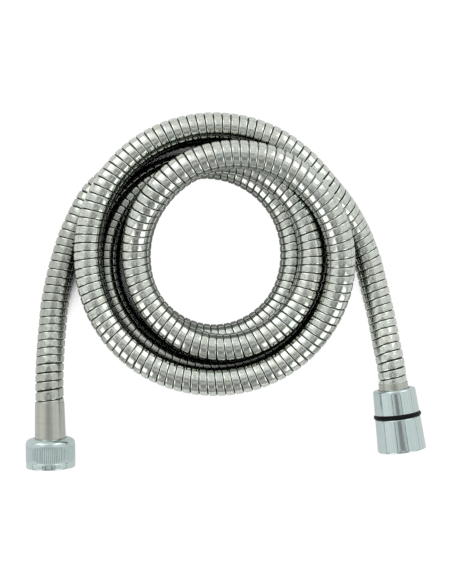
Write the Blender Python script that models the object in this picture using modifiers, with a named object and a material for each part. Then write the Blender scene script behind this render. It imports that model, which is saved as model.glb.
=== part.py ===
# Extendable shower hose, lying in a loose coil on a flat surface.
#
# A metal strip hose with a rubber hose inside it. Each end has a turned sleeve, a nipple that holds
# the rubber hose, a flat washer and a swivel nut: a knurled one for the water outlet on the wall,
# and a conical one with a rubber grip ring for the hand shower.
# Units are metres, +Z is up, and the coil rests on z = 0.

import math

import bmesh
import bpy
from mathutils import Matrix, Vector

# Hose
HOSE_RADIUS = 0.007
STRIP_WALL = 0.00115
HOSE_SIDES = 10
INNER_HOSE_SIDES = 8
HOSE_STEP = 0.0145
INNER_HOSE_RADIUS = 0.00475
INNER_HOSE_WALL = 0.0010

# Clearances between pieces
SEAT_GAP = 0.0003
SLIP_GAP = 0.0002

# End sleeves, which are crimped to the hose and have a spigot inside the metal hose
SLEEVE_LENGTH = 0.0216
SLEEVE_FLARE_LENGTH = 0.0175
SLEEVE_MOUTH_RADIUS = 0.0072
SLEEVE_RADIUS = 0.00765
SLEEVE_EDGE = 0.0004
SPIGOT_LENGTH = 0.0080
SPIGOT_WALL = 0.00035

# Nipples, barbed inside the rubber hose, with a flange that the nut pulls on
NIPPLE_BORE_RADIUS = 0.0025
NIPPLE_LENGTH = 0.0165
BARB_COUNT = 4
BARB_DEPTH = 0.0003
FLANGE_RADIUS = 0.0091
FLANGE_THICKNESS = 0.0016
PILOT_RADIUS = 0.0052
PILOT_HEIGHT = 0.0008

# Washers
WASHER_RADIUS = 0.00915
WASHER_THICKNESS = 0.0020

# Both nuts: socket for a half inch pipe thread, whose ridges are not modelled
SOCKET_RADIUS = 0.0095
SOCKET_CHAMFER = 0.0007

# Knurled nut
KNURLED_NUT_LENGTH = 0.0147
KNURLED_NUT_SOCKET_DEPTH = 0.0106
KNURLED_NUT_RADIUS = 0.01225
KNURLED_NUT_SHOULDER_RADIUS = 0.0088
KNURLED_NUT_SHOULDER_HEIGHT = 0.0025
KNURL_COUNT = 80
KNURL_START = 0.0028
KNURL_LENGTH = 0.0087
KNURL_DEPTH = 0.0004
KNURL_WIDTH = 0.00062
NUT_EDGE = 0.0004

# Conical nut and its grip ring
CONE_NUT_LENGTH = 0.0308
CONE_NUT_SOCKET_DEPTH = 0.0121
CONE_NUT_BACK_RADIUS = 0.01050
CONE_NUT_MOUTH_RADIUS = 0.01205
CONE_NUT_BACK_EDGE = 0.0010
GRIP_RING_PLACE = 0.0132
GRIP_RING_THICKNESS = 0.0023
GRIP_RING_PROUD = 0.0007

# Facets of the turned pieces
NUT_STEPS = 40
SLEEVE_STEPS = 32
SMALL_STEPS = 24
RING_SIDES = 8
SHOULDER_STEPS = 5
EDGE_STEPS = 4

# Where the hose ends, and which way each end points, seen from above
VALVE_END = Vector((-0.0880, -0.0551, KNURLED_NUT_RADIUS))
VALVE_HEADING = 1.0
HANDSET_END = Vector((0.0836, -0.0453, CONE_NUT_MOUTH_RADIUS))
HANDSET_HEADING = 7.6
STRAIGHT_LEAD = 0.0100

# Route of the hose from the valve end to the coil, after the straight lead
VALVE_TAIL = (
    (-0.0881, -0.0371, 0.0115),
    (-0.0879, -0.0281, 0.0098),
    (-0.0873, -0.0181, 0.0082),
    (-0.0863, -0.0061, 0.0072),
    (-0.0840, 0.0059, 0.0070),
    (-0.0811, 0.0169, 0.0070),
    (-0.0763, 0.0307, 0.0070),
    (-0.0672, 0.0479, 0.0070),
    (-0.0587, 0.0564, 0.0070),
)

# The coil: clockwise from the north-west, radius and height in millimetres at each eighth of a turn
COIL_CENTRE = Vector((-0.0055, 0.0201, 0.0))
COIL_START = -45.0
EIGHTH_TURN = 45.0
MILLIMETRE = 0.001
COIL_LAY = (
    # first turn, outermost, flat on the surface
    (63.6, 7.0), (60.6, 7.0), (57.2, 7.0), (55.2, 7.0), (56.8, 7.0), (58.1, 7.0), (57.6, 7.0), (54.7, 7.0),
    # second turn, inside the first, flat on the surface
    (48.8, 7.0), (43.6, 7.0), (40.7, 7.0), (39.9, 7.0), (42.0, 7.0), (43.5, 7.0), (42.2, 7.1), (39.2, 8.6),
    # third turn, climbs and lies on the first two
    (39.4, 18.8), (44.3, 21.6), (46.0, 20.8), (48.2, 20.7), (48.9, 20.7), (47.4, 21.2), (41.7, 22.0), (38.8, 24.6),
    # fourth turn, crosses over the third and moves outwards
    (38.9, 33.4), (44.4, 36.1), (53.0, 34.6), (61.2, 28.4), (64.2, 20.8), (64.4, 20.2), (64.2, 20.2), (62.4, 20.0),
    # last half turn, outside, before the hose comes down to the surface
    (61.6, 21.8), (61.0, 21.8), (61.6, 21.7),
)
COIL_POINTS_PER_LAY = 3

# Route from the coil to the straight lead at the handset end
HANDSET_TAIL = (
    (0.0498, 0.0509, 0.0199),
    (0.0572, 0.0425, 0.0161),
    (0.0648, 0.0311, 0.0106),
    (0.0710, 0.0168, 0.0077),
    (0.0752, 0.0009, 0.0072),
    (0.0782, -0.0121, 0.0080),
    (0.0804, -0.0251, 0.0102),
)

# Points between each two of the route, before the line is divided evenly
SMOOTH_STEPS = 16

# Colour, metallic value and roughness of each finish
FINISHES = {
    "polished_steel": ((0.62, 0.62, 0.58), 1.0, 0.18),
    "satin_nickel": ((0.52, 0.50, 0.45), 1.0, 0.34),
    "chrome": ((0.70, 0.75, 0.77), 1.0, 0.12),
    "brass": ((0.62, 0.46, 0.20), 1.0, 0.30),
    "black_rubber": ((0.02, 0.02, 0.02), 0.0, 0.55),
    "grey_rubber": ((0.10, 0.10, 0.10), 0.0, 0.70),
}


def clear_scene():
    for obj in list(bpy.data.objects):
        bpy.data.objects.remove(obj, do_unlink=True)


def new_collection(name):
    collection = bpy.data.collections.new(name)
    bpy.context.scene.collection.children.link(collection)
    return collection


def material(name):
    """One Principled material for each finish, made when it is first asked for."""
    if name in bpy.data.materials:
        return bpy.data.materials[name]
    colour, metallic, roughness = FINISHES[name]
    made = bpy.data.materials.new(name)
    made.use_nodes = True
    made.diffuse_color = (*colour, 1.0)
    shader = made.node_tree.nodes["Principled BSDF"]
    shader.inputs["Base Color"].default_value = (*colour, 1.0)
    shader.inputs["Metallic"].default_value = metallic
    shader.inputs["Roughness"].default_value = roughness
    return made


def add_object(name, data, finish, collection, parent=None):
    obj = bpy.data.objects.new(name, data)
    data.materials.append(material(finish))
    collection.objects.link(obj)
    obj.parent = parent
    return obj


def flat_radius(radius, sides):
    """Distance from the axis to the middle of a side, on a section of so many sides."""
    return radius * math.cos(math.pi / sides)


# Route


def catmull_rom(before, start, end, after, steps):
    """Points on a centripetal spline from start up to, but not including, end."""
    knots = [0.0]
    for first, second in ((before, start), (start, end), (end, after)):
        knots.append(knots[-1] + math.sqrt((second - first).length))
    k0, k1, k2, k3 = knots
    points = []
    for step in range(steps):
        k = k1 + (k2 - k1) * step / steps
        a = before.lerp(start, (k - k0) / (k1 - k0))
        b = start.lerp(end, (k - k1) / (k2 - k1))
        c = end.lerp(after, (k - k2) / (k3 - k2))
        d = a.lerp(b, (k - k0) / (k2 - k0))
        e = b.lerp(c, (k - k1) / (k3 - k1))
        points.append(d.lerp(e, (k - k1) / (k2 - k1)))
    return points


def smooth_line(points):
    """A dense line through the points."""
    ends = [2 * points[0] - points[1], *points, 2 * points[-1] - points[-2]]
    line = []
    for i in range(1, len(ends) - 2):
        line += catmull_rom(ends[i - 1], ends[i], ends[i + 1], ends[i + 2], SMOOTH_STEPS)
    return [*line, points[-1]]


def even_line(line, step):
    """Points along the line at equal distances of about one step, with both its ends."""
    lengths = [0.0]
    for first, second in zip(line, line[1:]):
        lengths.append(lengths[-1] + (second - first).length)
    count = round(lengths[-1] / step)
    spaced = []
    place = 0
    for i in range(count):
        wanted = lengths[-1] * i / count
        while lengths[place + 1] < wanted:
            place += 1
        share = (wanted - lengths[place]) / (lengths[place + 1] - lengths[place])
        spaced.append(line[place].lerp(line[place + 1], share))
    return [*spaced, line[-1]]


def coil_points():
    """The coil's turns, with COIL_POINTS_PER_LAY points for each eighth of a turn."""
    lay = [MILLIMETRE * Vector((radius, height, 0.0)) for radius, height in COIL_LAY]
    ends = [2 * lay[0] - lay[1], *lay, 2 * lay[-1] - lay[-2]]
    points = []
    for i in range(len(lay)):
        last = i == len(lay) - 1
        for j in range(1 if last else COIL_POINTS_PER_LAY):
            share = j / COIL_POINTS_PER_LAY
            radius, height = lay_between(ends[i:i + 4], share)
            angle = math.radians(COIL_START + EIGHTH_TURN * (i + share))
            across = Vector((math.sin(angle), math.cos(angle), 0.0))
            points.append(COIL_CENTRE + radius * across + Vector((0.0, 0.0, height)))
    return points


def lay_between(four, share):
    """Radius and height at this share of the way between the two middle pairs, on a smooth curve."""
    before, start = four[0], four[1]
    if share == 0.0:
        return start.x, start.y
    end, after = four[2], four[3]
    leave = (end - before) / 2
    arrive = (after - start) / 2
    t2, t3 = share ** 2, share ** 3
    mixed = (2 * t3 - 3 * t2 + 1) * start + (t3 - 2 * t2 + share) * leave
    mixed += (3 * t2 - 2 * t3) * end + (t3 - t2) * arrive
    return mixed.x, mixed.y


def heading_vector(degrees):
    """The way an end points: straight down the page from above, turned towards +X by so many degrees."""
    angle = math.radians(degrees)
    return Vector((math.sin(angle), -math.cos(angle), 0.0))


def hose_line():
    """Centreline of the hose, from the valve end to the handset end."""
    valve_lead = VALVE_END - STRAIGHT_LEAD * heading_vector(VALVE_HEADING)
    handset_lead = HANDSET_END - STRAIGHT_LEAD * heading_vector(HANDSET_HEADING)
    route = [VALVE_END, valve_lead, *map(Vector, VALVE_TAIL)]
    route += coil_points()
    route += [*map(Vector, HANDSET_TAIL), handset_lead, HANDSET_END]
    curved = smooth_line(route)[SMOOTH_STEPS:-SMOOTH_STEPS]
    for point in curved:
        # no part of the hose is below the surface it lies on
        point.z = max(point.z, HOSE_RADIUS)
    return [VALVE_END, *even_line(curved, HOSE_STEP), HANDSET_END]


# Shapes


def hollow_hose(name, line, radius, wall, sides, finish, collection):
    """A tube with an open bore along the line: a round curve, thickened inwards."""
    curve = bpy.data.curves.new(name, "CURVE")
    curve.dimensions = "3D"
    curve.bevel_depth = radius
    curve.bevel_resolution = (sides - 4) // 2
    spline = curve.splines.new("POLY")
    spline.points.add(len(line) - 1)
    for point, place in zip(spline.points, line):
        point.co = (*place, 1.0)
    hose = add_object(name, curve, finish, collection)
    shell = hose.modifiers.new("Wall", "SOLIDIFY")
    shell.thickness = wall
    shell.offset = -1.0
    shell.use_even_offset = True
    return hose


def turned(name, profile, steps, finish, collection, parent):
    """A ring turned about its parent's Z axis from a closed profile of (radius, height) points.

    The profile runs down the outer side, from the highest point, and back up the bore.
    """
    mesh = bpy.data.meshes.new(name)
    count = len(profile)
    vertices = [(radius, 0.0, height) for radius, height in profile]
    edges = [(i, (i + 1) % count) for i in range(count)]
    mesh.from_pydata(vertices, edges, [])
    piece = add_object(name, mesh, finish, collection, parent)
    screw = piece.modifiers.new("Turn", "SCREW")
    screw.axis = "Z"
    screw.steps = steps
    screw.render_steps = steps
    screw.use_merge_vertices = True
    screw.merge_threshold = 0.00001
    screw.use_smooth_shade = True
    return piece


def arc(centre_radius, centre_height, radius, start, end, steps):
    """Points on an arc of a profile, between two angles in degrees, counted from +X towards +Z."""
    points = []
    for i in range(steps + 1):
        angle = math.radians(start + (end - start) * i / steps)
        points.append((centre_radius + radius * math.cos(angle), centre_height + radius * math.sin(angle)))
    return points


# Places along each end's axis, measured outwards from the cut end of the metal hose
SHOULDER = SEAT_GAP + SLEEVE_LENGTH
FLANGE_BACK = SHOULDER + SEAT_GAP
FLANGE_FACE = FLANGE_BACK + FLANGE_THICKNESS
WASHER_BACK = FLANGE_FACE + SEAT_GAP
WASHER_FACE = WASHER_BACK + WASHER_THICKNESS
KNURLED_NUT_MOUTH = SHOULDER + KNURLED_NUT_SOCKET_DEPTH
CONE_NUT_MOUTH = SHOULDER + CONE_NUT_SOCKET_DEPTH
NUT_BORE_RADIUS = SLEEVE_RADIUS + SEAT_GAP
SLEEVE_BORE_RADIUS = INNER_HOSE_RADIUS + SLIP_GAP
INNER_HOSE_BORE = flat_radius(INNER_HOSE_RADIUS, INNER_HOSE_SIDES) - INNER_HOSE_WALL
BARB_RADIUS = INNER_HOSE_BORE - SLIP_GAP

# Radius of the conical nut where its grip ring sits, and of the middle of that ring's round section
CONE_SLOPE = (CONE_NUT_MOUTH_RADIUS - CONE_NUT_BACK_RADIUS) / CONE_NUT_LENGTH
CONE_RADIUS_AT_RING = CONE_NUT_BACK_RADIUS + CONE_SLOPE * GRIP_RING_PLACE
GRIP_RING_CENTRE = CONE_RADIUS_AT_RING + GRIP_RING_PROUD - GRIP_RING_THICKNESS / 2


def end_frame(name, place, heading, collection):
    """An empty at a hose end whose Z axis points outwards along it: the axis that its nut spins on."""
    frame = bpy.data.objects.new(name, None)
    outwards = heading_vector(heading)
    up = Vector((0.0, 0.0, 1.0))
    side = up.cross(outwards)
    turn = Matrix((side, up, outwards)).transposed()
    frame.matrix_world = Matrix.Translation(place) @ turn.to_4x4()
    frame.empty_display_size = HOSE_RADIUS
    collection.objects.link(frame)
    return frame


def sleeve(name, frame, collection):
    """Turned sleeve: its spigot sits in the mouth of the metal hose, and its body flares to the nut."""
    spigot_radius = SLEEVE_BORE_RADIUS + SPIGOT_WALL
    flare_end = SEAT_GAP + SLEEVE_FLARE_LENGTH
    profile = [
        (SLEEVE_RADIUS - SLEEVE_EDGE, SHOULDER),
        (SLEEVE_RADIUS, SHOULDER - SLEEVE_EDGE),
        (SLEEVE_RADIUS, flare_end),
        (SLEEVE_MOUTH_RADIUS, SEAT_GAP + SLEEVE_EDGE),
        (SLEEVE_MOUTH_RADIUS - SLEEVE_EDGE, SEAT_GAP),
        (spigot_radius, SEAT_GAP),
        (spigot_radius, -SPIGOT_LENGTH),
        (SLEEVE_BORE_RADIUS, -SPIGOT_LENGTH),
        (SLEEVE_BORE_RADIUS, SHOULDER),
    ]
    return turned(name, profile, SLEEVE_STEPS, "satin_nickel", collection, frame)


def nipple(name, frame, collection):
    """Brass nipple: barbs inside the rubber hose, a flange, and a pilot that centres the washer."""
    tail = FLANGE_BACK - NIPPLE_LENGTH
    barb_pitch = NIPPLE_LENGTH / (BARB_COUNT + 1)
    profile = [
        (PILOT_RADIUS, FLANGE_FACE + PILOT_HEIGHT),
        (PILOT_RADIUS, FLANGE_FACE),
        (FLANGE_RADIUS, FLANGE_FACE),
        (FLANGE_RADIUS, FLANGE_BACK),
        (BARB_RADIUS - BARB_DEPTH, FLANGE_BACK),
    ]
    for i in range(BARB_COUNT, 0, -1):
        crest = tail + barb_pitch * i
        profile.append((BARB_RADIUS - BARB_DEPTH, crest + barb_pitch / 4))
        profile.append((BARB_RADIUS, crest))
    profile += [
        (BARB_RADIUS - BARB_DEPTH, tail),
        (NIPPLE_BORE_RADIUS, tail),
        (NIPPLE_BORE_RADIUS, FLANGE_FACE + PILOT_HEIGHT),
    ]
    return turned(name, profile, SMALL_STEPS, "brass", collection, frame)


def washer(name, frame, collection):
    """Flat washer, centred by the nipple's pilot."""
    bore = PILOT_RADIUS + SEAT_GAP
    profile = [
        (WASHER_RADIUS, WASHER_FACE),
        (WASHER_RADIUS, WASHER_BACK),
        (bore, WASHER_BACK),
        (bore, WASHER_FACE),
    ]
    return turned(name, profile, SLEEVE_STEPS, "grey_rubber", collection, frame)


def nut_inside(back, mouth):
    """The inner side of a nut's profile, from the back up the bore and the socket to the mouth's edge."""
    return [
        (NUT_BORE_RADIUS, back),
        (NUT_BORE_RADIUS, SHOULDER),
        (SOCKET_RADIUS, SHOULDER),
        (SOCKET_RADIUS, mouth - SOCKET_CHAMFER),
        (SOCKET_RADIUS + SOCKET_CHAMFER, mouth),
    ]


def knurl_cutters(back, collection):
    """One four-sided cutter for each flute, pointed at both ends, on the outside of the nut."""
    mesh = bpy.data.meshes.new("knurl_cutters")
    flutes = bmesh.new()
    half_width = KNURL_WIDTH / 2
    reach = KNURLED_NUT_RADIUS * math.cos(math.pi / KNURL_COUNT)
    for i in range(KNURL_COUNT):
        flute = bmesh.ops.create_cone(
            flutes, cap_ends=True, segments=4, radius1=1.0, radius2=1.0, depth=KNURL_LENGTH
        )["verts"]
        bmesh.ops.scale(flutes, vec=(KNURL_DEPTH, half_width, 1.0), verts=flute)
        angle = 2 * math.pi * (i + 0.5) / KNURL_COUNT
        middle = back + KNURL_START + KNURL_LENGTH / 2
        place = Matrix.Rotation(angle, 4, "Z") @ Matrix.Translation((reach, 0.0, middle))
        bmesh.ops.transform(flutes, matrix=place, verts=flute)
    flutes.to_mesh(mesh)
    flutes.free()
    cutters = bpy.data.objects.new("knurl_cutters", mesh)
    cutters.display_type = "WIRE"
    cutters.hide_render = True
    collection.objects.link(cutters)
    return cutters


def knurled_nut(name, frame, collection, helpers):
    """Coupling nut with a domed shoulder, a straight knurl and a plain rim at its mouth."""
    mouth = KNURLED_NUT_MOUTH
    back = mouth - KNURLED_NUT_LENGTH
    rise = KNURLED_NUT_SHOULDER_HEIGHT
    spread = KNURLED_NUT_RADIUS - KNURLED_NUT_SHOULDER_RADIUS
    shoulder = []
    for radius, height in arc(0.0, 0.0, 1.0, 0.0, -90.0, SHOULDER_STEPS):
        shoulder.append((KNURLED_NUT_SHOULDER_RADIUS + spread * radius, back + rise + rise * height))
    profile = [
        (KNURLED_NUT_RADIUS - NUT_EDGE, mouth),
        (KNURLED_NUT_RADIUS, mouth - NUT_EDGE),
        *shoulder,
        *nut_inside(back, mouth),
    ]
    nut = turned(name, profile, KNURL_COUNT, "chrome", collection, frame)
    cutters = knurl_cutters(back, helpers)
    cutters.parent = frame
    cut = nut.modifiers.new("Knurl", "BOOLEAN")
    cut.operation = "DIFFERENCE"
    cut.object = cutters
    return nut


def cone_nut(name, frame, collection):
    """Long conical nut with a round groove for the grip ring."""
    mouth = CONE_NUT_MOUTH
    back = mouth - CONE_NUT_LENGTH
    groove = GRIP_RING_THICKNESS / 2 + SLIP_GAP
    lip = math.degrees(math.acos((CONE_RADIUS_AT_RING - GRIP_RING_CENTRE) / groove))
    edge = CONE_NUT_BACK_EDGE
    profile = [
        (CONE_NUT_MOUTH_RADIUS - NUT_EDGE, mouth),
        (CONE_NUT_MOUTH_RADIUS, mouth - NUT_EDGE),
        *arc(GRIP_RING_CENTRE, back + GRIP_RING_PLACE, groove, lip, 360.0 - lip, RING_SIDES),
        *arc(CONE_NUT_BACK_RADIUS - edge, back + edge, edge, 0.0, -90.0, EDGE_STEPS),
        *nut_inside(back, mouth),
    ]
    return turned(name, profile, NUT_STEPS, "chrome", collection, frame)


def grip_ring(name, frame, collection):
    """Rubber ring of round section in the groove."""
    place = CONE_NUT_MOUTH - CONE_NUT_LENGTH + GRIP_RING_PLACE
    section = arc(GRIP_RING_CENTRE, place, GRIP_RING_THICKNESS / 2, 90.0, -270.0, RING_SIDES)[:-1]
    return turned(name, section, NUT_STEPS, "black_rubber", collection, frame)


def main():
    clear_scene()
    parts = new_collection("shower_hose")
    helpers = new_collection("cutters")

    line = hose_line()
    hollow_hose("outer_hose", line, HOSE_RADIUS, STRIP_WALL, HOSE_SIDES, "polished_steel", parts)
    inner_end = FLANGE_BACK - SEAT_GAP
    inner_line = [
        VALVE_END + inner_end * heading_vector(VALVE_HEADING),
        *line,
        HANDSET_END + inner_end * heading_vector(HANDSET_HEADING),
    ]
    rubber = (INNER_HOSE_RADIUS, INNER_HOSE_WALL, INNER_HOSE_SIDES)
    hollow_hose("inner_hose", inner_line, *rubber, "grey_rubber", parts)

    valve = end_frame("valve_end_axis", VALVE_END, VALVE_HEADING, parts)
    sleeve("valve_end_sleeve", valve, parts)
    nipple("valve_end_nipple", valve, parts)
    washer("valve_end_washer", valve, parts)
    knurled_nut("knurled_nut", valve, parts, helpers)

    handset = end_frame("handset_end_axis", HANDSET_END, HANDSET_HEADING, parts)
    sleeve("handset_end_sleeve", handset, parts)
    nipple("handset_end_nipple", handset, parts)
    washer("handset_end_washer", handset, parts)
    cone_nut("cone_nut", handset, parts)
    grip_ring("grip_ring", handset, parts)


main()
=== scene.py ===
# %% [markdown]
# # A metal shower hose in a loose coil
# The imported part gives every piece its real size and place: 1.6 m of hose that lies in a little more
# than four turns, with a knurled nut at one end and a conical nut at the other. This script gives each
# piece the surface that shows. The hidden inner hose only gets a better material. Every other CAD node
# is replaced by a finer mesh that stands where the node stands.

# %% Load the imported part
import math

import bpy
import numpy as np
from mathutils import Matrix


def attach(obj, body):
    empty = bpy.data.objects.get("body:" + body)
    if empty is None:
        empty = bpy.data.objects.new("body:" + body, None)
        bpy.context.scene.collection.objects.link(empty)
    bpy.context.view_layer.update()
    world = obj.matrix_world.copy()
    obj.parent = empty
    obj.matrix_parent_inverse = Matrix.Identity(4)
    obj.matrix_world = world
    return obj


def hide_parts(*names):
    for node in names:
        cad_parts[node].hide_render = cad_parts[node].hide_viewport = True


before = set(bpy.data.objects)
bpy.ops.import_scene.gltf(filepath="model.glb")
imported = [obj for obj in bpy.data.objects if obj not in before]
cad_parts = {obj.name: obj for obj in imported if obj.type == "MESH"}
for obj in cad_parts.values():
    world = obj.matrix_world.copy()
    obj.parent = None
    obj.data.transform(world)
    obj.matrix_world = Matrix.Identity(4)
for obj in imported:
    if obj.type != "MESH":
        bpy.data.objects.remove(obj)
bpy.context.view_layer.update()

# %% [markdown]
# ## Camera
# The photograph looks straight down. The ends of the two nuts bulge away from its middle, which a
# parallel view would not show, and the size of that bulge gives the camera's height: 0.55 m. The lens
# then follows from the length of the picture at the height of the nuts.

# %% A camera above the coil
CAMERA_PLACE = (0.0001, -0.0001, 0.550)
NUT_HEIGHT = 0.012
PICTURE_LENGTH = 0.292
SENSOR_WIDTH = 36.0

camera_data = bpy.data.cameras.new("overhead_camera")
camera_data.sensor_width = SENSOR_WIDTH
camera_data.lens = SENSOR_WIDTH * (CAMERA_PLACE[2] - NUT_HEIGHT) / PICTURE_LENGTH
camera = bpy.data.objects.new("overhead_camera", camera_data)
camera.location = CAMERA_PLACE
bpy.context.scene.collection.objects.link(camera)
bpy.context.scene.camera = camera
print("lens:", round(camera_data.lens, 2), "mm")

# %% [markdown]
# ## The route of the hose
# The hose is one flexible thing of fixed length, so its route comes first, as a list of points from
# one end to the other. It could be drawn as a curve by hand, but in a coil each turn lies on another,
# and numbers show that best. So each point of the coil is a radius and a height at an eighth of a turn:
# the lower turns are at half a hose's thickness, and the next ones a whole thickness higher. Places are
# in metres, and the coil's table is in millimetres.

# %% Points of the route
HOSE_RADIUS = 0.007
VALVE_END = (-0.0880, -0.0551, 0.01225)
VALVE_HEADING = math.radians(1.0)
HANDSET_END = (0.0836, -0.0453, 0.01205)
HANDSET_HEADING = math.radians(7.6)
STRAIGHT_LEAD = 0.0100
VALVE_TAIL = (
    (-0.0881, -0.0371, 0.0115),
    (-0.0879, -0.0281, 0.0098),
    (-0.0873, -0.0181, 0.0082),
    (-0.0863, -0.0061, 0.0072),
    (-0.0840, 0.0059, 0.0070),
    (-0.0811, 0.0169, 0.0070),
    (-0.0763, 0.0307, 0.0070),
    (-0.0672, 0.0479, 0.0070),
    (-0.0587, 0.0564, 0.0070),
)
COIL_CENTRE = np.array((-0.0055, 0.0201, 0.0))
COIL_LAY = np.array((
    (63.6, 7.0), (60.6, 7.0), (57.2, 7.0), (55.2, 7.0),
    (56.8, 7.0), (58.1, 7.0), (57.6, 7.0), (54.7, 7.0),
    (48.8, 7.0), (43.6, 7.0), (40.7, 7.0), (39.9, 7.0),
    (42.0, 7.0), (43.5, 7.0), (42.2, 7.1), (39.2, 8.6),
    (39.4, 18.8), (44.3, 21.6), (46.0, 20.8), (48.2, 20.7),
    (48.9, 20.7), (47.4, 21.2), (41.7, 22.0), (38.8, 24.6),
    (38.9, 33.4), (44.4, 36.1), (53.0, 34.6), (61.2, 28.4),
    (64.2, 20.8), (64.4, 20.2), (64.2, 20.2), (62.4, 20.0),
    (61.6, 21.8), (61.0, 21.8), (61.6, 21.7),
)) / 1000
HANDSET_TAIL = (
    (0.0498, 0.0509, 0.0199),
    (0.0572, 0.0425, 0.0161),
    (0.0648, 0.0311, 0.0106),
    (0.0710, 0.0168, 0.0077),
    (0.0752, 0.0009, 0.0072),
    (0.0782, -0.0121, 0.0080),
    (0.0804, -0.0251, 0.0102),
)
print("points: tails", len(VALVE_TAIL), "and", len(HANDSET_TAIL), "coil", len(COIL_LAY))

# %% Turns of the coil
POINTS_PER_EIGHTH = 3


def between(t, before, start, end, after):
    """A value on the smooth curve from start to end, which comes from before and goes on to after."""
    return (
        (2 * t**3 - 3 * t**2 + 1) * start + (t**3 - 2 * t**2 + t) * (end - before) / 2
        + (3 * t**2 - 2 * t**3) * end + (t**3 - t**2) * (after - start) / 2
    )


def coil_place(eighths, radius, height):
    """A point of the coil, this many eighths of a turn clockwise from the north-west."""
    angle = math.radians(45 * eighths - 45)
    return COIL_CENTRE + (radius * math.sin(angle), radius * math.cos(angle), height)


def coil_points():
    lay = np.vstack((2 * COIL_LAY[0] - COIL_LAY[1], COIL_LAY, 2 * COIL_LAY[-1] - COIL_LAY[-2]))
    points = []
    for i in range(len(COIL_LAY) - 1):
        for t in np.arange(POINTS_PER_EIGHTH) / POINTS_PER_EIGHTH:
            radius, height = between(t, *lay[i:i + 4])
            points.append(coil_place(i + t, radius, height))
    return [*points, coil_place(len(COIL_LAY) - 1, *COIL_LAY[-1])]


print("turns of the coil:", (len(COIL_LAY) - 1) / 8)

# %% One smooth line through all the points
SPLINE_STEPS = 16
LINE_STEP = 0.0005


def spline(points):
    """A centripetal spline, which stays close to its points where they are unevenly spaced."""
    ends = [2 * points[0] - points[1], *points, 2 * points[-1] - points[-2]]
    line = []
    for p0, p1, p2, p3 in zip(ends, ends[1:], ends[2:], ends[3:]):
        k1 = math.sqrt(np.linalg.norm(p1 - p0))
        k2 = k1 + math.sqrt(np.linalg.norm(p2 - p1))
        k3 = k2 + math.sqrt(np.linalg.norm(p3 - p2))
        for k in np.linspace(k1, k2, SPLINE_STEPS, endpoint=False):
            a = p0 + (p1 - p0) * k / k1
            b = p1 + (p2 - p1) * (k - k1) / (k2 - k1)
            c = p2 + (p3 - p2) * (k - k2) / (k3 - k2)
            d = a + (b - a) * k / k2
            e = b + (c - b) * (k - k1) / (k3 - k1)
            line.append(d + (e - d) * (k - k1) / (k2 - k1))
    return np.array([*line, points[-1]])


def way_of(heading):
    """The way an end points, seen from above: straight down the picture, turned towards +X."""
    return np.array((math.sin(heading), -math.cos(heading), 0.0))


valve_end, handset_end = np.array(VALVE_END), np.array(HANDSET_END)
valve_way, handset_way = way_of(VALVE_HEADING), way_of(HANDSET_HEADING)
route = [valve_end, valve_end - STRAIGHT_LEAD * valve_way, *map(np.array, VALVE_TAIL), *coil_points()]
route += [*map(np.array, HANDSET_TAIL), handset_end - STRAIGHT_LEAD * handset_way, handset_end]
rough_line = spline(route)
rough_line[:, 2] = np.maximum(rough_line[:, 2], HOSE_RADIUS)
rough_places = np.concatenate(([0.0], np.cumsum(np.linalg.norm(np.diff(rough_line, axis=0), axis=1))))
hose_length = rough_places[-1]
places = np.linspace(0.0, hose_length, round(hose_length / LINE_STEP) + 1)
line = np.stack([np.interp(places, rough_places, rough_line[:, i]) for i in range(3)], axis=1)
print("hose length between its sleeves:", round(hose_length, 4), "m")

# %% [markdown]
# To wind something round the route, each place on it needs three directions: along the hose, aside and
# upward. They are smoothed, because a corner in them would show as a kink in every reflection.

# %% Which way the hose runs at each place
SMOOTH_WINDOW = 13


def running_mean(values, window):
    """Each value averaged with its neighbours, which takes the corners out of the directions."""
    padded = np.pad(values, ((window // 2, window // 2), (0, 0)), mode="edge")
    kernel = np.hanning(window + 2)[1:-1]
    return np.stack([np.convolve(padded[:, i], kernel / kernel.sum(), "valid") for i in range(3)], axis=1)


def unit(vectors):
    return vectors / np.linalg.norm(vectors, axis=-1, keepdims=True)


def at(table, place):
    """The values of a table along the hose, at these places; past the ends it stays as it is there."""
    return np.stack([np.interp(place, places, table[:, i]) for i in range(3)], axis=-1)


along = unit(running_mean(np.gradient(line, LINE_STEP, axis=0), SMOOTH_WINDOW))
aside = unit(np.cross(along, (0.0, 0.0, 1.0)))
upward = np.cross(aside, along)
bend = np.gradient(along, LINE_STEP, axis=0)
print("tightest bend:", round(1000 / np.linalg.norm(bend, axis=1).max(), 1), "mm in radius")

# %% [markdown]
# ## Materials as expressions
# Each finish is a Principled shader whose inputs are worked out from a few signals, such as how deep a
# point lies in a groove. A small class wraps one output of a node, so that `1 - mask` or `noise * 0.1`
# adds the Math nodes by itself, and everything else goes through one method that adds a node.

# %% One output of a node, in sums and products


class Signal:
    """One output of a node. Sums and products of it add Math nodes."""

    def __init__(self, tree, socket):
        self.tree = tree
        self.socket = socket

    def math(self, operation, *values):
        return self.tree.add("ShaderNodeMath", {"operation": operation}, values)

    def __add__(self, other):
        return self.math("ADD", self, other)

    def __radd__(self, other):
        return self.math("ADD", other, self)

    def __sub__(self, other):
        return self.math("SUBTRACT", self, other)

    def __rsub__(self, other):
        return self.math("SUBTRACT", other, self)

    def __mul__(self, other):
        return self.math("MULTIPLY", self, other)

    def __rmul__(self, other):
        return self.math("MULTIPLY", other, self)

    def __truediv__(self, other):
        return self.math("DIVIDE", self, other)

    def rise(self, low, high):
        """0 below low, 1 above high, and smooth between."""
        settings = {"interpolation_type": "SMOOTHSTEP"}
        return self.tree.add("ShaderNodeMapRange", settings, (self, low, high, 0.0, 1.0))

    def band(self, start, full, fade, end):
        """1 from full to fade, and smooth down to 0 at start and at end."""
        return self.rise(start, full) * (1 - self.rise(fade, end))


# %% Node trees and finishes


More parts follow.
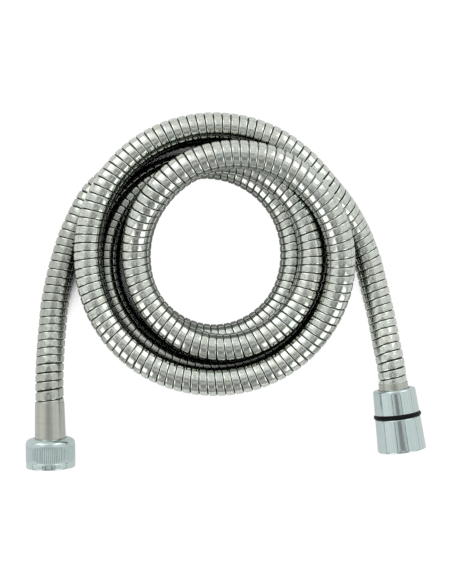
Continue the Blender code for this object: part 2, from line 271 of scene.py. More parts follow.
class Tree:
    """The nodes of a material or of the world."""

    def __init__(self, node_tree):
        self.nodes = node_tree.nodes
        self.links = node_tree.links

    def add(self, kind, settings=None, values=(), output=0):
        """Adds a node: its settings are made first, then its sockets get their values or links."""
        node = self.nodes.new(kind)
        for name, value in (settings or {}).items():
            setattr(node, name, value)
        self.feed(node, values)
        return Signal(self, node.outputs[output])

    def feed(self, node, values):
        """Sets or links sockets, which are given in order, by number or by name."""
        for key, value in values.items() if isinstance(values, dict) else enumerate(values):
            if isinstance(value, Signal):
                self.links.new(value.socket, node.inputs[key])
            else:
                node.inputs[key].default_value = value

    def mix(self, share, first, second):
        """A colour between two colours."""
        return self.add("ShaderNodeMix", {"data_type": "RGBA"}, {0: share, 6: first, 7: second}, output=2)

    def number(self, name):
        """A number that the mesh keeps for each of its points."""
        return self.add("ShaderNodeAttribute", {"attribute_name": name}, output="Fac")

    def noise(self, vector, scale, detail=2.0):
        values = {"Vector": vector, "Scale": scale, "Detail": detail}
        return self.add("ShaderNodeTexNoise", None, values)

    def openness(self, distance, samples):
        """1 where nothing stands within this distance, 0 deep in a gap."""
        values = {"Distance": distance}
        return self.add("ShaderNodeAmbientOcclusion", {"samples": samples}, values, output="AO")


class Finish(Tree):
    """A material with one Principled shader, named after its slot."""

    def __init__(self, slot, colour, metallic, roughness):
        self.slot = slot
        self.material = bpy.data.materials.new(slot + "_surface")
        self.material.use_nodes = True
        self.material.diffuse_color = (*colour, 1.0)
        super().__init__(self.material.node_tree)
        self.shader = self.nodes["Principled BSDF"]
        self.set({"Base Color": (*colour, 1.0), "Metallic": metallic, "Roughness": roughness})

    def set(self, values):
        self.feed(self.shader, values)

    def bump(self, height, distance, normal=None):
        values = {"Height": height, "Distance": distance}
        if normal is not None:
            values["Normal"] = normal
        return self.add("ShaderNodeBump", None, values)


# %% [markdown]
# ## Polished steel strip
# Stainless strip is rolled, so it has faint lines along its length and a slight waviness that breaks up
# every reflection. Its edges go down into the groove between two windings, which is painted near black
# as shade. A picture of the lines could be wrapped round the tube, but it would show a seam, so the mesh
# keeps three numbers for each point: the turn of the winding, the place across the strip and the depth
# below the crown. The turn grows along the whole strip, so the lines go on from winding to winding.
#
# Three stretches differ from the rest. The tail next to the knurled nut is darker and greyer. Where the
# top turn comes down to its tail the windings are closed up, and their grooves get little painted shade,
# so their edges shine. Between the turns of the coil the steel is painted nearly black as shade.

# %% Signals of the strip
STRIP_PER_TURN = 2 * math.pi * HOSE_RADIUS * 1000
STRIP_HALF_WIDTH = 1.78
TAIL_FADES = (20, 50)
CLOSED_UP_TURNS = (263, 269, 285, 295)
GAP_REACH = 0.022

steel = Finish("polished_steel", (0.60, 0.64, 0.58), 1.0, 0.10)
turns = steel.number("turn")
length_mm = turns * STRIP_PER_TURN
width_mm = steel.number("across_strip") * STRIP_HALF_WIDTH
depth_mm = steel.number("depth") * 1000


def strip_place(length_scale, width_scale):
    """A place on the strip, stretched along its length or its width."""
    return steel.add("ShaderNodeCombineXYZ", None, (length_mm * length_scale, width_mm * width_scale, 0.0))


roll_lines = steel.noise(strip_place(0.22, 2.6), 1.0, 3.0)
waviness = steel.noise(strip_place(0.16, 0.45), 1.0)
dents = steel.noise(strip_place(0.55, 0.80), 1.0)
tint = steel.noise(strip_place(0.045, 0.0), 1.0)
closed_up = turns.band(*CLOSED_UP_TURNS)
# Painted shade: the groove between windings is near black and dull, except where the windings are closed
# up.
painted_groove_shade = depth_mm.rise(0.24, 0.60) * (1 - 0.90 * closed_up)
# Painted shade: the steel deep between the turns of the coil is nearly black.
painted_gap_shade = 1 - steel.openness(GAP_REACH, 6).rise(0.16, 0.50)
# The tail next to the knurled nut is darker and greyer.
darker_tail = 1 - turns.rise(*TAIL_FADES)
print("signals of the strip:", len(steel.nodes), "nodes")

# %% Colour, roughness and relief of the strip
COOL_STEEL, WARM_STEEL = (0.680, 0.730, 0.680, 1.0), (0.710, 0.730, 0.655, 1.0)
LINE_SHADE = (0.32, 0.34, 0.30, 1.0)
TAIL_GREY = (0.46, 0.485, 0.43, 1.0)
# Near-black colours of the painted shade, between the turns and in the grooves.
PAINTED_SHADE_BLACK, GROOVE_SHADE_BLACK = (0.012, 0.012, 0.010, 1.0), (0.006, 0.006, 0.005, 1.0)

colour = steel.mix(tint.rise(0.35, 0.65), COOL_STEEL, WARM_STEEL)
colour = steel.mix(roll_lines.rise(0.40, 0.70) * 0.55, colour, LINE_SHADE)
colour = steel.mix(darker_tail * 0.80, colour, TAIL_GREY)
# Painted shade between the turns of the coil.
colour = steel.mix(painted_gap_shade * 0.93, colour, PAINTED_SHADE_BLACK)
wavy = steel.bump(waviness, 0.00008, steel.bump(dents, 0.00003))
steel.set({
    # Painted shade in the grooves: near black, not metallic and rougher.
    "Base Color": steel.mix(painted_groove_shade, colour, GROOVE_SHADE_BLACK),
    "Metallic": 1 - painted_groove_shade,
    "Roughness": 0.03 + roll_lines * 0.08 + painted_groove_shade * 0.4,
    "Normal": steel.bump(roll_lines, 0.000012, wavy),
})
print("steel of the strip:", len(steel.nodes), "nodes")

# %% [markdown]
# ## The strip
# The tube of a metal shower hose is one long steel strip, rolled to a shallow arch with hooked edges
# and wound like a right-hand screw, 4 mm for each winding. The hooks slide in each other, which is why
# the hose bends: on the outer side of a bend a winding comes out from under its neighbour, and on
# the inner side it slides in, while the line between them stays thin. Rings on a tube would look much
# the same from afar, but their lines would run straight across and never climb. So the section of the
# strip is a row of points here, and each of them follows a helix round the route.

# %% Section of the strip: distance from the middle of the winding, distance from the axis, and lean
# The lean is how far the surface turns along the hose, in degrees. A rolled strip is nearly flat up to
# its edges, so its reflections run on from one winding to the next.
STRIP_SECTION = np.array((
    (-1.80, 6.15, -80), (-1.77, 6.62, -50), (-1.60, 6.87, -15), (-1.20, 6.98, -2),
    (1.20, 6.98, 2), (1.60, 6.86, 16), (1.77, 6.58, 52), (1.80, 6.15, 80),
)) * (0.001, 0.001, math.pi / 180)
SECTION = len(STRIP_SECTION)
STRIP_SIDES = 30
WINDING_PITCH = 0.00403
HIDDEN_END = 0.0035
WINDINGS = math.ceil((hose_length + 2 * HIDDEN_END) / WINDING_PITCH)
print("windings:", WINDINGS)

# %% [markdown]
# No two windings mirror the studio alike, because the strip is never quite even. Smooth random values
# along the strip stand for that, and the seed keeps them the same in each run.

# %% Small unevenness
WAVES_PER_TURN = 3.0
FIRST_WAVE = 20.0

rng = np.random.default_rng(11)
waves = rng.normal(0.0, 1.0, (4, 4000))


def uneven(kind, turn):
    """A smooth random value for each place on the strip, from one of the rows of waves."""
    x = turn * WAVES_PER_TURN + FIRST_WAVE
    low = np.floor(x).astype(int)
    share = x - low
    share = share * share * (3 - 2 * share)
    return waves[kind][low] * (1 - share) + waves[kind][low + 1] * share


print("waves:", waves.shape)

# %% Where each point of the section lies along the hose, and how far from its axis
WIDTH_VARIES, SLANT_VARIES = 0.012, 0.010
RADIUS_VARIES, PLACE_VARIES = 0.00002, 0.00003
LAST_WINDING_PULL = 0.0013
PULL_START, PULL_EASE = 0.0068, 0.0035

theta = 2 * math.pi * np.arange(STRIP_SIDES) / STRIP_SIDES
winding, part_of_section = np.divmod(np.arange(WINDINGS * SECTION), SECTION)
turn = winding[:, None] + theta / (2 * math.pi)
offset = STRIP_SECTION[part_of_section, 0][:, None] * (1 + WIDTH_VARIES * uneven(0, turn))
radius = STRIP_SECTION[part_of_section, 1][:, None] + RADIUS_VARIES * uneven(1, turn)
radius = radius + SLANT_VARIES * offset * uneven(2, turn)
place = WINDING_PITCH * turn - HIDDEN_END + PLACE_VARIES * uneven(3, turn) + offset
place = place - LAST_WINDING_PULL * np.clip((PULL_START - place) / PULL_EASE, 0, 1)
place = np.clip(place, -HIDDEN_END, hose_length + HIDDEN_END)
print("rows of the section:", len(place))

# %% Wind the strip round the route
OPENING_SHARE = 0.5

outward = np.cos(theta)[:, None] * at(upward, place) + np.sin(theta)[:, None] * at(aside, place)
stretch = np.maximum(0, -radius * (outward * at(bend, place)).sum(axis=-1))
past_the_end = place - np.clip(place, 0.0, hose_length)
ahead = past_the_end - OPENING_SHARE * stretch * offset
strip_points = at(line, place) + ahead[..., None] * at(along, place) + radius[..., None] * outward
print("points of the strip:", strip_points.shape)

# %% Make the mesh of the wound strip


def strip_faces():
    """Quads between columns. After a whole turn a column goes on as the next winding's first one."""
    number = np.arange(strip_points.shape[0] * STRIP_SIDES).reshape(-1, STRIP_SIDES)
    faces = []
    for i in range(STRIP_SIDES):
        low, high = number[:, i], number[:, (i + 1) % STRIP_SIDES]
        if i == STRIP_SIDES - 1:
            low, high = low[:-SECTION], high[SECTION:]
        faces.append(np.stack((low[:-1], high[:-1], high[1:], low[1:]), axis=1))
    return np.concatenate(faces)


def point_values(mesh, name, values, kind="FLOAT"):
    """A number or a vector for each point of the mesh, which the material reads by this name."""
    field = "value" if kind == "FLOAT" else "vector"
    data = mesh.attributes.new(name, kind, "POINT").data
    data.foreach_set(field, np.ascontiguousarray(values, dtype=np.float32).ravel())


def new_piece(name, points, faces, finish, body, node):
    """A mesh in the place where it stands, which rides on a body and stands for a CAD node."""
    mesh = bpy.data.meshes.new(name)
    mesh.from_pydata(points.reshape(-1, 3).tolist(), [], faces.tolist())
    mesh.shade_smooth()
    mesh.materials.append(finish.material)
    piece = bpy.data.objects.new(name, mesh)
    bpy.context.scene.collection.objects.link(piece)
    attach(piece, body)
    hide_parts(node)
    return piece


wound_strip = new_piece("wound_strip", strip_points, strip_faces(), steel, "hose", "outer_hose")
print("faces of the strip:", len(wound_strip.data.polygons))

# %% Numbers for the strip's material, and shading that follows the lean
LEAN_VARIES = 0.010

across = STRIP_SECTION[part_of_section, 0] / (STRIP_HALF_WIDTH / 1000)
depth = HOSE_RADIUS - STRIP_SECTION[part_of_section, 1]
point_values(wound_strip.data, "across_strip", np.repeat(across, STRIP_SIDES))
point_values(wound_strip.data, "depth", np.repeat(depth, STRIP_SIDES))
point_values(wound_strip.data, "turn", turn)
lean = STRIP_SECTION[part_of_section, 2][:, None, None] + LEAN_VARIES * uneven(0, turn)[..., None]
facing = np.cos(lean) * outward + np.sin(lean) * at(along, place)
wound_strip.data.normals_split_custom_set_from_vertices(facing.reshape(-1, 3).tolist())
print("deepest point of the groove:", round(1000 * depth.max(), 2), "mm below the crown")

# %% [markdown]
# ## Turned fittings
# The sleeves, nuts, washers and nipples are turned on a lathe, so each is a profile that goes round an
# axis. The profile is a list of corners, each with the size of its rounding, because an edge without a
# rounding catches no light. A modifier could spin and bevel it, but a thread and a knurl need the
# height and the angle of every point, so the points are worked out here.

# %% Profiles with rounded corners
ROUNDING_STEPS = 5


def rounded(corners):
    """A closed profile through the corners (radius, height, rounding), in millimetres."""
    points = np.array([corner[:2] for corner in corners], dtype=float)
    profile = []
    for i, (_, _, rounding) in enumerate(corners):
        corner = points[i]
        back, ahead = points[i - 1] - corner, points[(i + 1) % len(points)] - corner
        if rounding == 0:
            profile.append(corner)
            continue
        start = corner + back / np.linalg.norm(back) * min(rounding, np.linalg.norm(back) * 0.5)
        end = corner + ahead / np.linalg.norm(ahead) * min(rounding, np.linalg.norm(ahead) * 0.5)
        for t in np.linspace(0, 1, ROUNDING_STEPS + 1):
            profile.append((1 - t) ** 2 * start + 2 * t * (1 - t) * corner + t ** 2 * end)
    return np.array(profile)


print("a rounded corner has", ROUNDING_STEPS + 1, "points")

# %% Turn a profile round the axis of an end
SHARP_ANGLE = math.radians(40)


def turned(name, profile, segments, finish, body, node, end, way, shape=None):
    """A ring turned from a closed profile in millimetres, whose height runs outwards from the hose's end.

    shape may change the radius, given the radius, the height and the angle of every point.
    """
    angle = 2 * math.pi * np.arange(segments) / segments
    radius = np.repeat(profile[:, :1], segments, axis=1)
    height = np.repeat(profile[:, 1:], segments, axis=1)
    if shape is not None:
        radius = shape(radius, height, angle[None, :])
    up = np.array((0.0, 0.0, 1.0))
    side = np.cross(up, way)
    local = np.stack((radius * np.cos(angle), radius * np.sin(angle), height), axis=-1)
    points = end + (local[..., :1] * side + local[..., 1:2] * up + local[..., 2:] * way) / 1000
    number = np.arange(radius.size).reshape(radius.shape)
    below, after = np.roll(number, -1, axis=0), np.roll(number, -1, axis=1)
    faces = np.stack((number, below, np.roll(below, -1, axis=1), after), axis=-1).reshape(-1, 4)
    piece = new_piece(name, points, faces, finish, body, node)
    piece.data.set_sharp_from_angle(angle=SHARP_ANGLE)
    point_values(piece.data, "turned_place", local, "FLOAT_VECTOR")
    print(name, len(piece.data.polygons), "faces")
    return piece


# %% [markdown]
# ## Chrome, nickel and brass
# Both nuts are brass with bright chrome, which mirrors the studio and is a little blue. The sleeves are
# nickel that was left as it came off the lathe, so fine rings go round them and blur the reflection, and
# the nipples are bare brass. The shader's anisotropy could stand for the rings, but it would blur all of
# the metal alike. Here each finish reads the place on the turned piece, so the rings follow its axis.

# %% Rings and clouds on turned metal


def turned_place(finish):
    """The place on a turned piece in millimetres: its axis is the third direction."""
    return finish.add("ShaderNodeAttribute", {"attribute_name": "turned_place"}, output="Vector")


def lathe_rings(finish, around=0.10, rings_per_mm=9.0):
    """Noise that is long round the axis and short along it, as a turning tool leaves it."""
    values = (turned_place(finish), (around, around, rings_per_mm))
    stretched = finish.add("ShaderNodeVectorMath", {"operation": "MULTIPLY"}, values)
    return finish.noise(stretched, 1.0)


def clouds_on(finish, per_mm):
    """Broad patches, where the metal is a little brighter or duller."""
    return finish.noise(turned_place(finish), per_mm)


# %% Chrome of the nuts
CHROME_TINTS = (0.545, 0.652, 0.630, 1.0), (0.572, 0.650, 0.662, 1.0)
KNURL_PAINTED_SHADE = (0.10, 0.13, 0.13, 1.0)

chrome = Finish("chrome", (0.60, 0.69, 0.68), 1.0, 0.06)
rings, clouds = lathe_rings(chrome, 0.06, 5.0), clouds_on(chrome, 0.35)
bright = chrome.mix(clouds.rise(0.35, 0.65), *CHROME_TINTS)
# Painted shade: the hollows of the knurl are darker.
chrome.set({
    "Base Color": chrome.mix(chrome.number("flute") * 0.38, bright, KNURL_PAINTED_SHADE),
    "Roughness": 0.04 + rings * 0.03 + clouds * 0.02,
    "Normal": chrome.bump(rings, 0.000003, chrome.bump(clouds, 0.00003)),
})
print("chrome:", len(chrome.nodes), "nodes")

# %% Nickel of the sleeves
NICKEL_TINTS = (0.455, 0.470, 0.420, 1.0), (0.530, 0.545, 0.490, 1.0)

nickel = Finish("satin_nickel", (0.50, 0.51, 0.455), 1.0, 0.28)
rings, clouds = lathe_rings(nickel), clouds_on(nickel, 0.5)
nickel.set({
    "Base Color": nickel.mix(rings.rise(0.3, 0.7), *NICKEL_TINTS),
    "Roughness": 0.15 + rings * 0.08 + clouds * 0.06,
    "Normal": nickel.bump(rings, 0.000003),
})
print("nickel:", len(nickel.nodes), "nodes")

# %% Brass of the nipples
BRASS_TINTS = (0.72, 0.52, 0.21, 1.0), (0.52, 0.34, 0.12, 1.0)

brass = Finish("brass", (0.70, 0.50, 0.20), 1.0, 0.28)
rings, clouds = lathe_rings(brass), clouds_on(brass, 0.6)
brass.set({
    "Base Color": brass.mix(clouds.rise(0.4, 0.7), *BRASS_TINTS),
    "Roughness": 0.22 + rings * 0.14,
    "Normal": brass.bump(rings, 0.00001),
})
print("brass:", len(brass.nodes), "nodes")

# %% [markdown]
# ## Rubber
# The grip ring is black and clean, the washers and the inner hose are dark grey and a little dusty.
# Moulded rubber has a fine grain, which spreads its shine. Both finishes come from one function, since
# they differ only in colour and in how matt they are.

# %% Rubber of the grip ring, the washers and the inner hose
GRAIN_SCALE, PATCH_SCALE = 2500.0, 350.0


def rubber(name, colour, dusty, roughness):
    finish = Finish(name, colour, 0.0, roughness)
    place = finish.add("ShaderNodeTexCoord", output="Object")
    grain = finish.noise(place, GRAIN_SCALE, 3.0)
    patches = finish.noise(place, PATCH_SCALE)
    finish.set({
        "Base Color": finish.mix(patches.rise(0.45, 0.75), (*colour, 1.0), (*dusty, 1.0)),
        "Roughness": roughness - 0.08 + grain * 0.16,
        "Normal": finish.bump(grain, 0.00002),
    })
    return finish


black_rubber = rubber("black_rubber", (0.003, 0.003, 0.004), (0.007, 0.007, 0.009), 0.42)
black_rubber.set({"Specular IOR Level": 0.10})
grey_rubber = rubber("grey_rubber", (0.060, 0.060, 0.062), (0.095, 0.094, 0.090), 0.62)
print("rubber:", len(black_rubber.nodes), "and", len(grey_rubber.nodes), "nodes")

# %% [markdown]
# ## Thread and knurl
# Each nut has a half inch pipe thread in its mouth, and the knurled nut has a row of small ridges round
# it for the fingers. Both could be cut with booleans, which is slow and leaves ragged faces. Both are
# changes of the radius instead: the thread is a rounded wave that climbs one pitch for each turn, and
# the knurl is a wave round the nut that fades out at the ends of its band.

# %% The thread inside a nut, in millimetres
THREAD_PITCH = 1.814
THREAD_DEPTH = 1.05
THREAD_ROOT = 10.40
THREAD_FLAT = 0.12
RUN_IN = 0.6
RUN_OUT = (1.1, 0.3)
NEAR_THE_WALL = 0.05
SOCKET_RADIUS = 9.55
LIP_RADIUS = 7.95
CHAMFER = 0.95
SHOULDER = 21.9


def ramp(value, low, high):
    share = np.clip((value - low) / (high - low), 0, 1)
    return share * share * (3 - 2 * share)


def threaded(radius, height, angle, mouth):
    """Cuts a right-hand thread into the wall of the socket, which runs out at both ends."""
    wave = np.abs(((height / THREAD_PITCH - angle / (2 * math.pi)) % 1.0) * 2 - 1)
    cut = THREAD_ROOT - THREAD_DEPTH * ramp(wave, THREAD_FLAT, 1 - THREAD_FLAT)
    fade = 1 - ramp(height, mouth - RUN_OUT[0], mouth - RUN_OUT[1])
    share = ramp(height, SHOULDER, SHOULDER + RUN_IN) * fade
    inside = (radius < THREAD_ROOT + NEAR_THE_WALL) & (height > SHOULDER) & (height < mouth - NEAR_THE_WALL)
    return np.where(inside, radius + (cut - radius) * share, radius)


def nut_bore(back, mouth):
    """The inside of a nut: its back lip, its shoulder, close rows for the thread, and the chamfer."""
    rows = np.arange(SHOULDER + 0.1, mouth - CHAMFER, THREAD_PITCH / 8)
    return [
        (LIP_RADIUS, back, 0.3), (LIP_RADIUS, SHOULDER, 0.0), (SOCKET_RADIUS, SHOULDER, 0.0),
        *[(SOCKET_RADIUS, height, 0) for height in rows],
        (SOCKET_RADIUS + 0.05, mouth - CHAMFER, 0.0), (SOCKET_RADIUS + 1.05, mouth, 0.25),
    ]


print("thread:", round(25.4 / THREAD_PITCH, 1), "to the inch")

# %% [markdown]
# ## Sleeves, nipples and washers
# Both ends of the hose are built alike. A sleeve is crimped on the strip, and inside it a brass nipple
# holds the rubber hose. The back lip of the nut pulls on the nipple's flange, with a flat washer in
# front of it for a tight seal. Only the nuts differ, so one loop makes these pieces for both ends.

# %% Profiles of the fittings, in millimetres from the cut end of the strip
WASHER_BACK, WASHER_FACE = 24.1, 26.1
SLEEVE = [
    (7.28, SHOULDER, 0.30), (7.70, SHOULDER - 0.3, 0.2), (7.66, 17.8, 0.6), (7.27, 0.9, 0.4),
    (7.22, 0.0, 0.12), (7.09, 0.0, 0.06), (7.09, 3.6, 0.0), (5.30, 3.6, 0.0),
    (5.30, -8.0, 0.0), (4.95, -8.0, 0.0), (4.95, SHOULDER, 0.2),
]
NIPPLE = [
    (5.2, 24.6, 0.25), (5.2, 23.8, 0.0), (9.1, 23.8, 0.2), (9.1, 22.2, 0.2),
    (3.3, 22.2, 0.0), (3.3, 6.0, 0.3), (2.5, 5.7, 0.2), (2.5, 24.6, 0.5),
]
WASHER = [
    (9.15, WASHER_FACE, 0.2), (9.15, WASHER_BACK, 0.2), (5.5, WASHER_BACK, 0.2), (5.5, WASHER_FACE, 0.2),
]
FITTING_SIDES = 96

# %% Sleeve, nipple and washer of both ends
ends = {"valve_end": (valve_end, valve_way), "handset_end": (handset_end, handset_way)}
profiles = {"sleeve": (SLEEVE, nickel), "nipple": (NIPPLE, brass), "washer": (WASHER, grey_rubber)}
for name, (end, way) in ends.items():
    for kind, (corners, finish) in profiles.items():
        node = name + "_" + kind
        turned("turned_" + node, rounded(corners), FITTING_SIDES, finish, "hose", node, end, way)
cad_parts["inner_hose"].material_slots[0].material = grey_rubber.material
print("inner hose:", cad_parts["inner_hose"].material_slots[0].material.name)

# %% [markdown]
# ## Knurled nut
# This nut is tightened on the water outlet by hand. It has a domed shoulder behind, a straight knurl for
# the fingers and a plain rim at the mouth, and it turns freely round the sleeve. Each ridge has six
# points across it, which make it round, and the material reads how deep a point lies in the knurl, to
# paint the hollows darker as shade.

# %% Profile of the knurled nut, in millimetres
NUT_BACK, NUT_MOUTH = 17.8, 32.5
KNURL_BACK, KNURL_FRONT = NUT_BACK + 2.7, NUT_MOUTH - 3.2
DOME_FOOT, DOME_WIDTH, DOME_HEIGHT = 8.8, 3.4, 2.5
DOME = [
    (DOME_FOOT + DOME_WIDTH * math.cos(a), NUT_BACK + DOME_HEIGHT - DOME_HEIGHT * math.sin(a), 0)
    for a in np.linspace(0, math.pi / 2, 9)
]
KNURLED_NUT = [
    (12.22, NUT_MOUTH, 0.7),
    (12.22, KNURL_FRONT + 0.35, 0.25), (12.10, KNURL_FRONT + 0.05, 0),
    *[(12.25, height, 0) for height in np.linspace(KNURL_FRONT, KNURL_BACK, 9)],
    (12.20, KNURL_BACK - 0.1, 0),
    *DOME,
    *nut_bore(NUT_BACK, NUT_MOUTH),
]
print("corners of the knurled nut:", len(KNURLED_NUT))

# %% Ridges of the knurl
KNURLS = 84
KNURL_DEPTH = 0.20
KNURL_SIDES = KNURLS * 6
KNURL_EASE_BACK, KNURL_EASE_FRONT = 0.4, 0.3
OUTER_SIDE = 11.9


def flute(radius, height, angle):
    """How deep a point lies in the knurl, from 0 to 1: only on the outer side, within the band."""
    share = ramp(height, KNURL_BACK, KNURL_BACK + KNURL_EASE_BACK)
    share = share * (1 - ramp(height, KNURL_FRONT - KNURL_EASE_FRONT, KNURL_FRONT)) * (radius > OUTER_SIDE)
    return share * (0.5 + 0.5 * np.cos(angle * KNURLS))


def knurled(radius, height, angle):
    return threaded(radius - KNURL_DEPTH * flute(radius, height, angle), height, angle, NUT_MOUTH)


knurled_profile = rounded(KNURLED_NUT)
knurled_nut = turned(
    "threaded_knurled_nut", knurled_profile, KNURL_SIDES, chrome, "knurled_nut", "knurled_nut",
    valve_end, valve_way, knurled,
)
angles = 2 * math.pi * np.arange(KNURL_SIDES) / KNURL_SIDES
depth_in_knurl = flute(knurled_profile[:, :1], knurled_profile[:, 1:], angles[None, :])
# The attribute carries how deep a point lies in the knurl, for its painted shade.
point_values(knurled_nut.data, "flute", ramp(depth_in_knurl, 0.4, 1.0))

# %% [markdown]
# ## Conical nut
# The conical nut holds the hand shower. It is long enough to take in the hand, and a black rubber ring
# sits in a groove round it for grip. The groove could be left out, since the ring hides it, but its
# rounded edges show as a bright line on each side of the ring.

# %% Profile of the conical nut, in millimetres
CONE_BACK, CONE_MOUTH = 3.2, 34.0
CONE_RADIUS, CONE_SPREAD = 10.50, 1.55
RING_PLACE = CONE_BACK + 13.2
RING_RADIUS = 1.15
RING_CENTRE = 10.71
GROOVE_RADIUS = 1.3
GROOVE_EDGE = 1.45
GROOVE_ANGLES = (72, 288)


def cone_radius(height):
    return CONE_RADIUS + CONE_SPREAD * (height - CONE_BACK) / (CONE_MOUTH - CONE_BACK)


def cone_wall(start, stop, rows):
    return [(cone_radius(height), height, 0) for height in np.linspace(start, stop, rows)]


GROOVE = [
    (RING_CENTRE + GROOVE_RADIUS * math.cos(a), RING_PLACE + GROOVE_RADIUS * math.sin(a), 0)
    for a in np.radians(np.linspace(*GROOVE_ANGLES, 15))
]
CONE_NUT = [
    (cone_radius(CONE_MOUTH), CONE_MOUTH, 0.8),
    *cone_wall(CONE_MOUTH - 1.5, RING_PLACE + 2.0, 8),
    (cone_radius(RING_PLACE + GROOVE_EDGE), RING_PLACE + GROOVE_EDGE, 0.5),
    *GROOVE,
    (cone_radius(RING_PLACE - GROOVE_EDGE), RING_PLACE - GROOVE_EDGE, 0.5),
    *cone_wall(RING_PLACE - 2.0, CONE_BACK + 2.0, 6),
    (cone_radius(CONE_BACK), CONE_BACK, 1.2),
    *nut_bore(CONE_BACK, CONE_MOUTH),
]
print("corners of the conical nut:", len(CONE_NUT))

# %% Conical nut and its grip ring
CONE_SIDES, RING_SIDES, RING_ROWS = 256, 128, 24


def threaded_cone(radius, height, angle):
    return threaded(radius, height, angle, CONE_MOUTH)


turned(
    "threaded_cone_nut", rounded(CONE_NUT), CONE_SIDES, chrome, "cone_nut", "cone_nut",
    handset_end, handset_way, threaded_cone,
)
RING = np.array([
    (RING_CENTRE + RING_RADIUS * math.cos(a), RING_PLACE - RING_RADIUS * math.sin(a))
    for a in np.linspace(0, 2 * math.pi, RING_ROWS, endpoint=False)
])
turned(
    "rubber_grip_ring", RING, RING_SIDES, black_rubber, "cone_nut", "grip_ring",
    handset_end, handset_way,
)

# %% [markdown]
# ## The hose lies stiff
# The hose lies stiff in this scene, but a real one bends.

# %% [markdown]
# ## Studio
# Polished metal shows the room more than itself. The reflections in the photograph tell what the room
# was: a white tent with bright panels in its four corners, darker on the near side, with a dull line
# where its walls meet the table. Above is the opening that the camera looks through, which is the dark
# band along every turn. Its rims are the thin lines in that band, and the lens hood is straight above.
# Faint bands at different heights break up the wide reflections. A picture of a room could be wrapped
# round the scene, but the script reads no pictures, so the tent follows from each ray's direction.

# %% Walls and panels of the tent
WALL_LIGHT, PANEL_LIGHT = 0.94, 0.95
NEAR_SIDE_SHADE = 0.50
BAND_SCALE = (2.0, 2.0, 12.0)

world = bpy.data.worlds.new("studio")
bpy.context.scene.world = world
world.use_nodes = True
tent = Tree(world.node_tree)
direction = tent.add("ShaderNodeTexCoord", output="Generated")
x, y, z = [tent.add("ShaderNodeSeparateXYZ", None, (direction,), output=i) for i in range(3)]
flat = 1.001 - z * z
corner = 4 * (x * y) * (x * y) / (flat * flat)
panel = corner.rise(0.58, 0.84) * z.band(0.18, 0.24, 0.74, 0.84)
light = WALL_LIGHT + PANEL_LIGHT * panel
near_side = (0 - y).rise(0.10, 0.55)
light = light * (1 - NEAR_SIDE_SHADE * near_side * (1 - panel))
bands = tent.add("ShaderNodeVectorMath", {"operation": "MULTIPLY"}, (direction, BAND_SCALE))
light = light * (0.50 + 1.00 * tent.noise(bands, 1.0, 3.0))
print("walls of the tent:", len(tent.nodes), "nodes")

# %% The opening for the camera and the line at the table
OPENING_WAY = (0.0, -0.309, 0.951)
OPENING_SHADE, RIM_SHADE, INNER_RIM_SHADE, HOOD_SHADE = 0.29, 0.55, 0.42, 0.18
TABLE_LINE_SHADE = 0.40

values = (direction, OPENING_WAY)
towards_opening = tent.add("ShaderNodeVectorMath", {"operation": "DOT_PRODUCT"}, values, "Value")
opening = towards_opening.rise(0.890, 0.940)
rim = towards_opening.band(0.858, 0.868, 0.894, 0.904)
inner_rim = towards_opening.band(0.945, 0.952, 0.968, 0.976)
lens_hood = z.rise(0.990, 0.996)
table_line = z.band(0.02, 0.05, 0.09, 0.14)
light = light * (1 - OPENING_SHADE * opening) * (1 - RIM_SHADE * rim)
light = light * (1 - INNER_RIM_SHADE * inner_rim) * (1 - HOOD_SHADE * lens_hood)
light = light * (1 - TABLE_LINE_SHADE * table_line)
print("tent with its opening:", len(tent.nodes), "nodes")

# %% Tint of the cloth, and plain white behind everything that the camera sees
WHITE = (1.0, 1.0, 1.0, 1.0)
CLOTH_TINTS = (0.955, 1.0, 0.975, 1.0), (1.0, 0.985, 1.0, 1.0)

folds = tent.noise(direction, 2.2)
tinted = tent.mix(folds.rise(0.4, 0.6), *CLOTH_TINTS)
seen = tent.add("ShaderNodeLightPath", output="Is Camera Ray")
strength = light * (1 - seen) + seen
tent.feed(tent.nodes["Background"], {"Color": tent.mix(seen, tinted, WHITE), "Strength": strength})
print("whole studio:", len(tent.nodes), "nodes")

# %% [markdown]
# ## Floor
# The hose lies on white paper. Plain white paper would come out grey in this light, and more light would
# burn out the metal, so the paper glows: strongly to the camera, weakly in reflections. It is partly
# plain paper, so it keeps a soft shadow. In the narrow gaps between the turns it is painted black as
# shade, and in reflections the paper inside the coil is painted darker, as shade, than the paper round it.

# %% The floor
SHEET_SIZE, SHEET_DEPTH = 6.0, -0.0001
SHEET_GLOW = 1.10
COIL_PAPER = (0.004, 0.018, 0.036, 0.048)
COIL_PAPER_SHADE = 0.72
PAPER_WHITE = (0.80, 0.80, 0.80, 1.0)

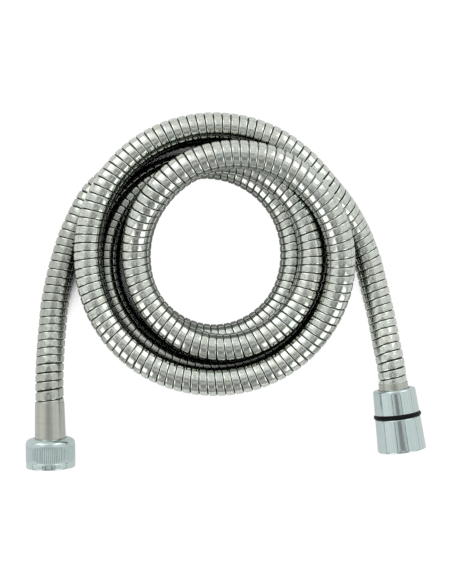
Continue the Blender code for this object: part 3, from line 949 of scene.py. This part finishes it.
floor_material = bpy.data.materials.new("white_floor")
floor_material.use_nodes = True
paper_sheet = Tree(floor_material.node_tree)
paper_sheet.nodes.clear()
by_camera = paper_sheet.add("ShaderNodeLightPath", output="Is Camera Ray")
by_glossy = paper_sheet.add("ShaderNodeLightPath", output="Is Glossy Ray")
by_glass = paper_sheet.add("ShaderNodeLightPath", output="Is Transmission Ray")
values = (paper_sheet.add("ShaderNodeTexCoord", output="Object"), tuple(COIL_CENTRE))
from_centre = paper_sheet.add("ShaderNodeVectorMath", {"operation": "DISTANCE"}, values, "Value")
# Painted shade: in reflections the paper inside the coil is darker.
painted_coil_shade = by_glossy * from_centre.band(*COIL_PAPER)
# Painted shade: in narrow gaps the paper is black and does not glow.
clear_of_painted_shade = paper_sheet.openness(GAP_REACH, 12).rise(0.19, 0.33) * (1 - COIL_PAPER_SHADE * painted_coil_shade)
paper_colour = paper_sheet.mix(clear_of_painted_shade, PAINTED_SHADE_BLACK, PAPER_WHITE)
plain = paper_sheet.add("ShaderNodeBsdfDiffuse", None, {"Color": paper_colour})
white = paper_sheet.add("ShaderNodeEmission", None, {"Color": WHITE, "Strength": SHEET_GLOW})
share = clear_of_painted_shade * (by_camera * 0.90 + by_glossy * 0.32 + by_glass * 0.90)
surface = paper_sheet.add("ShaderNodeMixShader", None, (share, plain, white))
paper_sheet.feed(paper_sheet.nodes.new("ShaderNodeOutputMaterial"), {"Surface": surface})

bpy.ops.mesh.primitive_plane_add(size=SHEET_SIZE, location=(0.0, 0.0, SHEET_DEPTH))
floor = bpy.context.object
floor.name = "white_floor"
floor.data.materials.append(floor_material)
print("floor:", len(paper_sheet.nodes), "nodes")

# %% [markdown]
# ## Lamp
# The tent gives nearly all the light, and one lamp from the back left adds a little more on that side.
# It is broad, because a small one would leave a hard dot of light on every winding.

# %% A broad soft lamp
LAMP_SIZE, LAMP_POWER = 1.2, 1.0
LAMP_PLACE = (-0.70, 0.80, 1.10)
LAMP_TILT = (math.radians(-36), math.radians(-28), 0.0)

lamp_data = bpy.data.lights.new("soft_lamp", "AREA")
lamp_data.shape = "DISK"
lamp_data.size = LAMP_SIZE
lamp_data.energy = LAMP_POWER
lamp = bpy.data.objects.new("soft_lamp", lamp_data)
lamp.location = LAMP_PLACE
lamp.rotation_euler = LAMP_TILT
bpy.context.scene.collection.objects.link(lamp)
bpy.context.scene.view_settings.view_transform = "Standard"
print("lamp:", lamp_data.energy, "W, colours:", bpy.context.scene.view_settings.view_transform)
